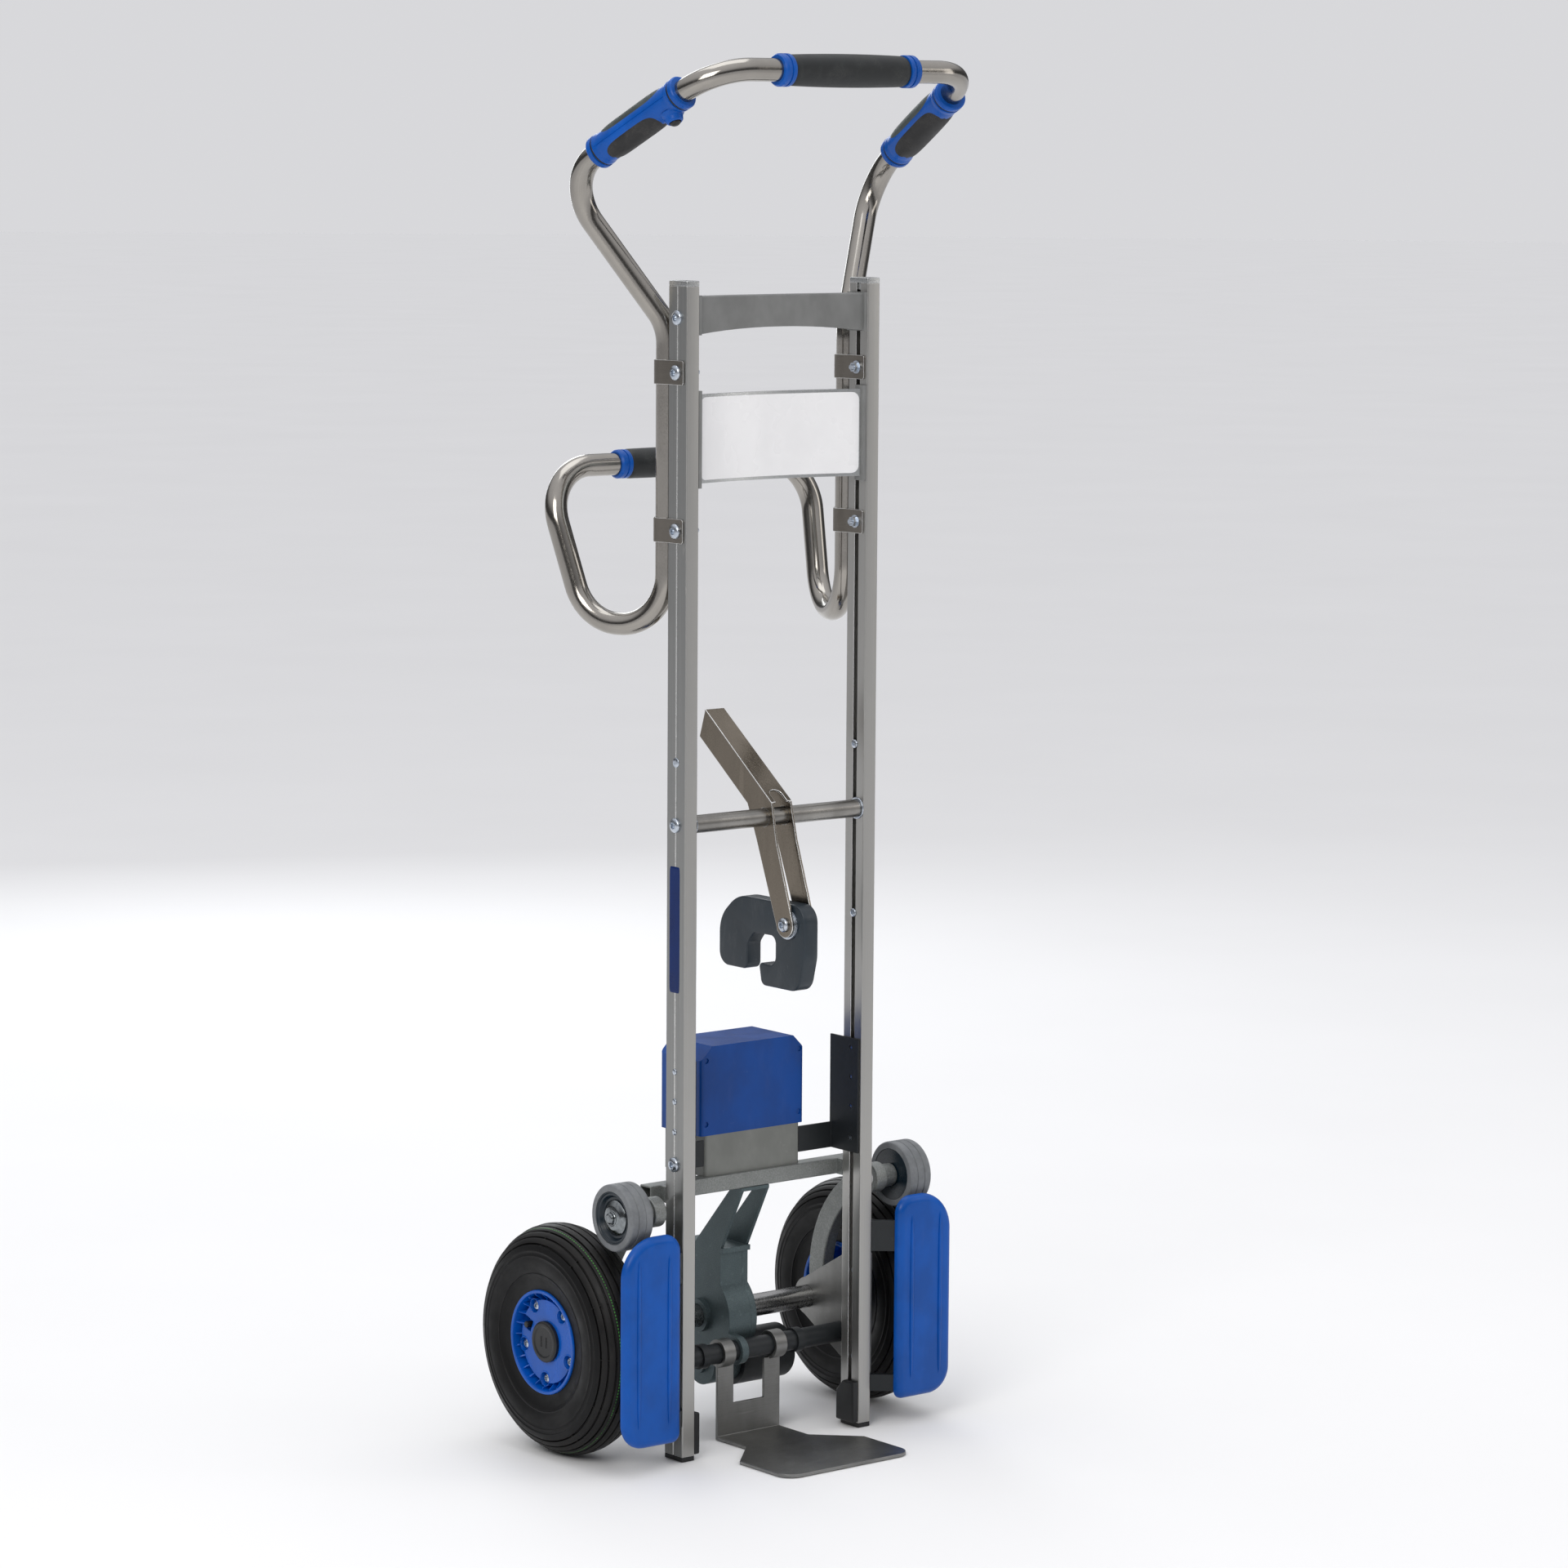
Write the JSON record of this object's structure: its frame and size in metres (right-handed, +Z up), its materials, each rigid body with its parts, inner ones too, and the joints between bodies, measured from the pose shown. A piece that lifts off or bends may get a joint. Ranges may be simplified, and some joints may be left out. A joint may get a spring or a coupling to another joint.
{
  "type": "powered keg trolley",
  "caption": "Upright two-rail trolley for beverage kegs, with a bent tube handle, a keg lever and hook, a toe plate, main wheels and a battery drive with stair-climbing arms.",
  "frame": {"origin": "on the floor in the plane of the rail fronts, midway between the rails", "axes": "+Z up, +X to the right seen from the load side, +Y towards the wheels and the person pushing"},
  "size_m": [0.5004, 0.3755, 1.5495],
  "materials": {
    "anodised": "satin anodised",
    "grey_plastic": "moulded",
    "black_plastic": "moulded",
    "steel": "brushed",
    "tube_steel": "polished",
    "zinc": "zinc plated",
    "blue_plastic": "semi-gloss",
    "grip_rubber": "soft",
    "slate_plastic": "machined",
    "cast": "rough cast",
    "case_cast": "painted casting",
    "dark_metal": "powder coated",
    "hard_steel": "ground",
    "tyre": "ribbed",
    "grey_rubber": "moulded",
    "chrome": "bright",
    "board": "lacquered",
    "cell": "sleeve",
    "panel": "satin with a white face"
  },
  "bodies": {
    "frame": {"rail_left": "anodised", "rail_right": "anodised", "rail_caps": "grey_plastic", "rail_feet": "black_plastic", "foot_brackets": "black_plastic", "top_crossbar": "grey_plastic", "sign_panel": "panel", "panel_brackets": "grey_plastic", "cross_tube": "steel", "frame_bolts": "zinc", "clip_straps": "steel", "clip_bolts": "zinc", "clip_nuts": "zinc", "handle_tube_left": "tube_steel", "handle_tube_right": "tube_steel", "top_grip": "grip_rubber", "top_grip_collars": "blue_plastic", "lower_grip": "grip_rubber", "lower_grip_collars": "blue_plastic", "side_grip_left": "blue_plastic", "side_grip_right": "blue_plastic", "side_pads": "grip_rubber", "control_housing": "grey_plastic", "control_board": "board", "battery_brackets": "dark_metal", "drive_crossbar": "dark_metal", "axle_plates": "steel", "lower_tube": "dark_metal", "toe_plate": "steel", "gear_case": "case_cast", "gear_case_cover": "case_cast", "shaft_bearings": "hard_steel", "motor": "dark_metal", "main_axle": "hard_steel", "wheel_guards": "blue_plastic", "guard_lugs": "dark_metal"},
    "lever": {"keg_lever": "steel", "hook_bolt": "zinc"},
    "hook": {"keg_hook": "slate_plastic"},
    "button": {"drive_button": "black_plastic"},
    "battery": {"battery_case": "blue_plastic", "battery_cells": "cell"},
    "arms": {"climbing_arms": "cast", "climbing_shaft": "hard_steel", "drive_gear": "hard_steel", "support_axles": "hard_steel"},
    "pinion": {"motor_pinion": "hard_steel"},
    "support_wheel_left": {"support_tyre_left": "grey_rubber", "support_hub_left": "slate_plastic", "support_cap_left": "chrome"},
    "main_wheel_left": {"main_tyre_left": "tyre", "main_rim_left": "blue_plastic", "rim_fittings_left": "zinc", "wheel_cap_left": "black_plastic"},
    "support_wheel_right": {"support_tyre_right": "grey_rubber", "support_hub_right": "slate_plastic", "support_cap_right": "chrome"},
    "main_wheel_right": {"main_tyre_right": "tyre", "main_rim_right": "blue_plastic", "rim_fittings_right": "zinc", "wheel_cap_right": "black_plastic"}
  },
  "joints": [
    {"name": "lever_pivot", "type": "hinge", "parent": "frame", "child": "lever", "pos_m": [0, 0.0122, 0.7117], "axis": [1, 0, 0], "range_deg": [-20, 30]},
    {"name": "hook_pivot", "type": "hinge", "parent": "lever", "child": "hook", "pos_m": [0, -0.026, 0.5957], "axis": [1, 0, 0], "range_deg": [-20, 35]},
    {"name": "button_press", "type": "slide", "parent": "frame", "child": "button", "axis": [0, 0.4787, 0.878], "range_m": [0, 0.0025], "stiffness_N_per_m": 600, "springref_m": -0.002},
    {"name": "battery_lift", "type": "slide", "parent": "frame", "child": "battery", "axis": [0, 0, 1], "range_m": [0, 0.045]},
    {"name": "arms_turn", "type": "hinge", "parent": "frame", "child": "arms", "pos_m": [0, 0.1155, 0.13], "axis": [1, 0, 0], "range_deg": [-225, 0]},
    {"name": "pinion_turn", "type": "hinge", "parent": "frame", "child": "pinion", "pos_m": [0, 0.1155, 0.074], "axis": [1, 0, 0], "continuous": true},
    {"name": "support_wheel_left_turn", "type": "hinge", "parent": "arms", "child": "support_wheel_left", "pos_m": [-0.2, 0.0259, 0.2819], "axis": [1, 0, 0], "continuous": true},
    {"name": "main_wheel_left_turn", "type": "hinge", "parent": "frame", "child": "main_wheel_left", "pos_m": [-0.2113, 0.1155, 0.13], "axis": [1, 0, 0], "continuous": true},
    {"name": "support_wheel_right_turn", "type": "hinge", "parent": "arms", "child": "support_wheel_right", "pos_m": [0.2, 0.0259, 0.2819], "axis": [1, 0, 0], "continuous": true},
    {"name": "main_wheel_right_turn", "type": "hinge", "parent": "frame", "child": "main_wheel_right", "pos_m": [0.2113, 0.1155, 0.13], "axis": [1, 0, 0], "continuous": true}
  ],
  "couplings": [
    {"joint": "pinion_turn", "follows": "arms_turn", "ratio": -3}
  ]
}
